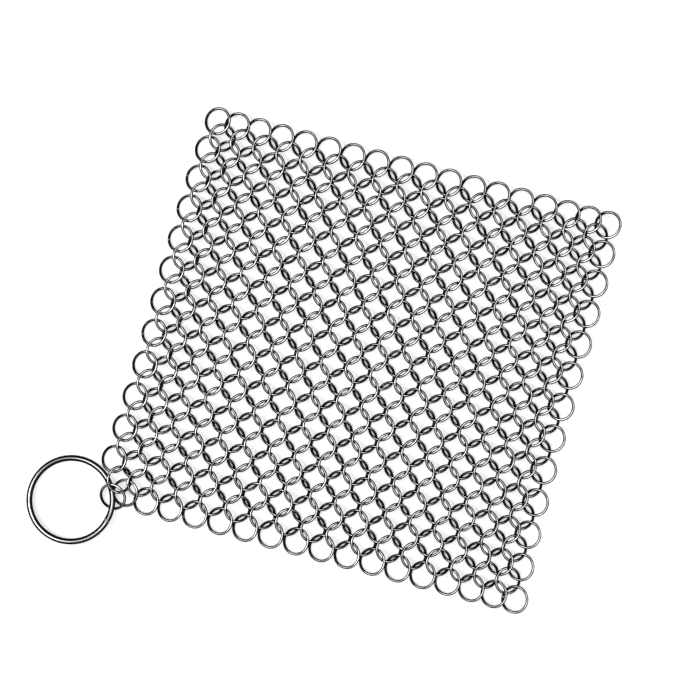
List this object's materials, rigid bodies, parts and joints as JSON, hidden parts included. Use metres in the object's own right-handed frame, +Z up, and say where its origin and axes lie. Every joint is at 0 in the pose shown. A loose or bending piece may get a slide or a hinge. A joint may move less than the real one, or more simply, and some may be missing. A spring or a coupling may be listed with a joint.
{
  "type": "pot scrubber",
  "caption": "Limp square sheet of linked steel wire rings for scouring pots and pans, with a larger ring at one corner to hang it by.",
  "frame": {"origin": "on the table, under the middle of the whole outline with the hanging ring, the sheet spread flat", "axes": "+X across the columns of rings, away from the hanging ring; +Y along the columns; +Z up from the table"},
  "size_m": [0.1806, 0.163, 0.0058],
  "materials": {
    "ring_steel": "polished",
    "hanging_ring_steel": "polished"
  },
  "bodies": {
    "column_01": {"ring_column_01": "ring_steel"},
    "column_02": {"ring_column_02": "ring_steel"},
    "column_03": {"ring_column_03": "ring_steel"},
    "column_04": {"ring_column_04": "ring_steel"},
    "column_05": {"ring_column_05": "ring_steel"},
    "column_06": {"ring_column_06": "ring_steel"},
    "column_07": {"ring_column_07": "ring_steel"},
    "column_08": {"ring_column_08": "ring_steel"},
    "column_09": {"ring_column_09": "ring_steel"},
    "column_10": {"ring_column_10": "ring_steel"},
    "column_11": {"ring_column_11": "ring_steel"},
    "column_12": {"ring_column_12": "ring_steel"},
    "column_13": {"ring_column_13": "ring_steel"},
    "column_14": {"ring_column_14": "ring_steel"},
    "column_15": {"ring_column_15": "ring_steel"},
    "column_16": {"ring_column_16": "ring_steel"},
    "column_17": {"ring_column_17": "ring_steel"},
    "column_18": {"ring_column_18": "ring_steel"},
    "column_19": {"ring_column_19": "ring_steel"},
    "column_20": {"ring_column_20": "ring_steel"},
    "column_21": {"ring_column_21": "ring_steel"},
    "column_22": {"ring_column_22": "ring_steel"},
    "column_23": {"ring_column_23": "ring_steel"},
    "column_24": {"ring_column_24": "ring_steel"},
    "column_25": {"ring_column_25": "ring_steel"},
    "column_26": {"ring_column_26": "ring_steel"},
    "column_27": {"ring_column_27": "ring_steel"},
    "column_28": {"ring_column_28": "ring_steel"},
    "column_29": {"ring_column_29": "ring_steel"},
    "column_30": {"ring_column_30": "ring_steel"},
    "column_31": {"ring_column_31": "ring_steel"},
    "column_32": {"ring_column_32": "ring_steel"},
    "column_33": {"ring_column_33": "ring_steel"},
    "column_34": {"ring_column_34": "ring_steel"},
    "column_35": {"ring_column_35": "ring_steel"},
    "corner_link": {"corner_link_ring": "ring_steel"},
    "hanging": {"hanging_ring": "hanging_ring_steel"}
  },
  "joints": [
    {"name": "corner_link_swing", "type": "hinge", "parent": "column_03", "child": "corner_link", "pos_m": [-0.05991, -0.059, 0.00343], "axis": [-0.8544, 0.0781, 0.5138], "range_deg": [0, 40]},
    {"name": "hanging_ring_swing", "type": "hinge", "parent": "corner_link", "child": "hanging", "pos_m": [-0.06208, -0.05798, 0.00211], "axis": [-0.5275, 0.8461, -0.0766], "range_deg": [0, 60]},
    {"name": "fold_01", "type": "hinge", "parent": "column_02", "child": "column_01", "pos_m": [-0.05952, 0.01026, 0.00378], "axis": [-0.0324, -0.9995, 0], "range_deg": [0, 30]},
    {"name": "fold_02", "type": "hinge", "parent": "column_03", "child": "column_02", "pos_m": [-0.05587, 0.01026, 0.00078], "axis": [0.0313, 0.9995, 0], "range_deg": [0, 30]},
    {"name": "fold_03", "type": "hinge", "parent": "column_04", "child": "column_03", "pos_m": [-0.05203, 0.01026, 0.00378], "axis": [-0.0301, -0.9995, 0], "range_deg": [0, 30]},
    {"name": "fold_04", "type": "hinge", "parent": "column_05", "child": "column_04", "pos_m": [-0.04804, 0.01026, 0.00078], "axis": [0.0289, 0.9996, 0], "range_deg": [0, 30]},
    {"name": "fold_05", "type": "hinge", "parent": "column_06", "child": "column_05", "pos_m": [-0.04392, 0.01026, 0.00378], "axis": [-0.0278, -0.9996, 0], "range_deg": [0, 60]},
    {"name": "fold_06", "type": "hinge", "parent": "column_07", "child": "column_06", "pos_m": [-0.0397, 0.01026, 0.00078], "axis": [0.0266, 0.9996, 0], "range_deg": [0, 60]},
    {"name": "fold_07", "type": "hinge", "parent": "column_08", "child": "column_07", "pos_m": [-0.0354, 0.01026, 0.00378], "axis": [-0.0254, -0.9997, 0], "range_deg": [0, 60]},
    {"name": "fold_08", "type": "hinge", "parent": "column_09", "child": "column_08", "pos_m": [-0.03105, 0.01026, 0.00078], "axis": [0.0243, 0.9997, 0], "range_deg": [0, 60]},
    {"name": "fold_09", "type": "hinge", "parent": "column_10", "child": "column_09", "pos_m": [-0.02664, 0.01026, 0.00378], "axis": [-0.0231, -0.9997, 0], "range_deg": [0, 60]},
    {"name": "fold_10", "type": "hinge", "parent": "column_11", "child": "column_10", "pos_m": [-0.02221, 0.01026, 0.00078], "axis": [0.0219, 0.9998, 0], "range_deg": [0, 60]},
    {"name": "fold_11", "type": "hinge", "parent": "column_12", "child": "column_11", "pos_m": [-0.01776, 0.01026, 0.00378], "axis": [-0.0208, -0.9998, 0], "range_deg": [0, 60]},
    {"name": "fold_12", "type": "hinge", "parent": "column_13", "child": "column_12", "pos_m": [-0.01329, 0.01026, 0.00078], "axis": [0.0196, 0.9998, 0], "range_deg": [0, 60]},
    {"name": "fold_13", "type": "hinge", "parent": "column_14", "child": "column_13", "pos_m": [-0.00881, 0.01026, 0.00378], "axis": [-0.0185, -0.9998, 0], "range_deg": [0, 60]},
    {"name": "fold_14", "type": "hinge", "parent": "column_15", "child": "column_14", "pos_m": [-0.00433, 0.01026, 0.00078], "axis": [0.0173, 0.9999, 0], "range_deg": [0, 60]},
    {"name": "fold_15", "type": "hinge", "parent": "column_16", "child": "column_15", "pos_m": [0.00016, 0.01026, 0.00378], "axis": [-0.0161, -0.9999, 0], "range_deg": [0, 60]},
    {"name": "fold_16", "type": "hinge", "parent": "column_17", "child": "column_16", "pos_m": [0.00464, 0.01026, 0.00078], "axis": [0.0149, 0.9999, 0], "range_deg": [0, 60]},
    {"name": "fold_17", "type": "hinge", "parent": "column_18", "child": "column_17", "pos_m": [0.00913, 0.01026, 0.00378], "axis": [-0.0138, -0.9999, 0], "range_deg": [0, 60]},
    {"name": "fold_18", "type": "hinge", "parent": "column_18", "child": "column_19", "pos_m": [0.01362, 0.01026, 0.00078], "axis": [-0.0126, -0.9999, 0], "range_deg": [0, 60]},
    {"name": "fold_19", "type": "hinge", "parent": "column_19", "child": "column_20", "pos_m": [0.0181, 0.01026, 0.00378], "axis": [0.0115, 0.9999, 0], "range_deg": [0, 60]},
    {"name": "fold_20", "type": "hinge", "parent": "column_20", "child": "column_21", "pos_m": [0.02259, 0.01026, 0.00078], "axis": [-0.0103, -0.9999, 0], "range_deg": [0, 60]},
    {"name": "fold_21", "type": "hinge", "parent": "column_21", "child": "column_22", "pos_m": [0.02707, 0.01026, 0.00378], "axis": [0.0091, 1, 0], "range_deg": [0, 60]},
    {"name": "fold_22", "type": "hinge", "parent": "column_22", "child": "column_23", "pos_m": [0.03155, 0.01026, 0.00078], "axis": [-0.008, -1, 0], "range_deg": [0, 60]},
    {"name": "fold_23", "type": "hinge", "parent": "column_23", "child": "column_24", "pos_m": [0.03603, 0.01026, 0.00378], "axis": [0.0068, 1, 0], "range_deg": [0, 60]},
    {"name": "fold_24", "type": "hinge", "parent": "column_24", "child": "column_25", "pos_m": [0.0405, 0.01026, 0.00078], "axis": [-0.0056, -1, 0], "range_deg": [0, 60]},
    {"name": "fold_25", "type": "hinge", "parent": "column_25", "child": "column_26", "pos_m": [0.04496, 0.01026, 0.00378], "axis": [0.0045, 1, 0], "range_deg": [0, 60]},
    {"name": "fold_26", "type": "hinge", "parent": "column_26", "child": "column_27", "pos_m": [0.04939, 0.01026, 0.00078], "axis": [-0.0033, -1, 0], "range_deg": [0, 60]},
    {"name": "fold_27", "type": "hinge", "parent": "column_27", "child": "column_28", "pos_m": [0.05379, 0.01026, 0.00378], "axis": [0.0021, 1, 0], "range_deg": [0, 60]},
    {"name": "fold_28", "type": "hinge", "parent": "column_28", "child": "column_29", "pos_m": [0.05815, 0.01026, 0.00078], "axis": [-0.001, -1, 0], "range_deg": [0, 60]},
    {"name": "fold_29", "type": "hinge", "parent": "column_29", "child": "column_30", "pos_m": [0.06245, 0.01026, 0.00378], "axis": [-0.0002, 1, 0], "range_deg": [0, 60]},
    {"name": "fold_30", "type": "hinge", "parent": "column_30", "child": "column_31", "pos_m": [0.06666, 0.01026, 0.00078], "axis": [0.0014, -1, 0], "range_deg": [0, 60]},
    {"name": "fold_31", "type": "hinge", "parent": "column_31", "child": "column_32", "pos_m": [0.07078, 0.01026, 0.00378], "axis": [-0.0025, 1, 0], "range_deg": [0, 30]},
    {"name": "fold_32", "type": "hinge", "parent": "column_32", "child": "column_33", "pos_m": [0.07478, 0.01026, 0.00078], "axis": [0.0037, -1, 0], "range_deg": [0, 30]},
    {"name": "fold_33", "type": "hinge", "parent": "column_33", "child": "column_34", "pos_m": [0.07862, 0.01026, 0.00378], "axis": [-0.0049, 1, 0], "range_deg": [0, 30]},
    {"name": "fold_34", "type": "hinge", "parent": "column_34", "child": "column_35", "pos_m": [0.08226, 0.01026, 0.00078], "axis": [0.006, -1, 0], "range_deg": [0, 30]}
  ]
}
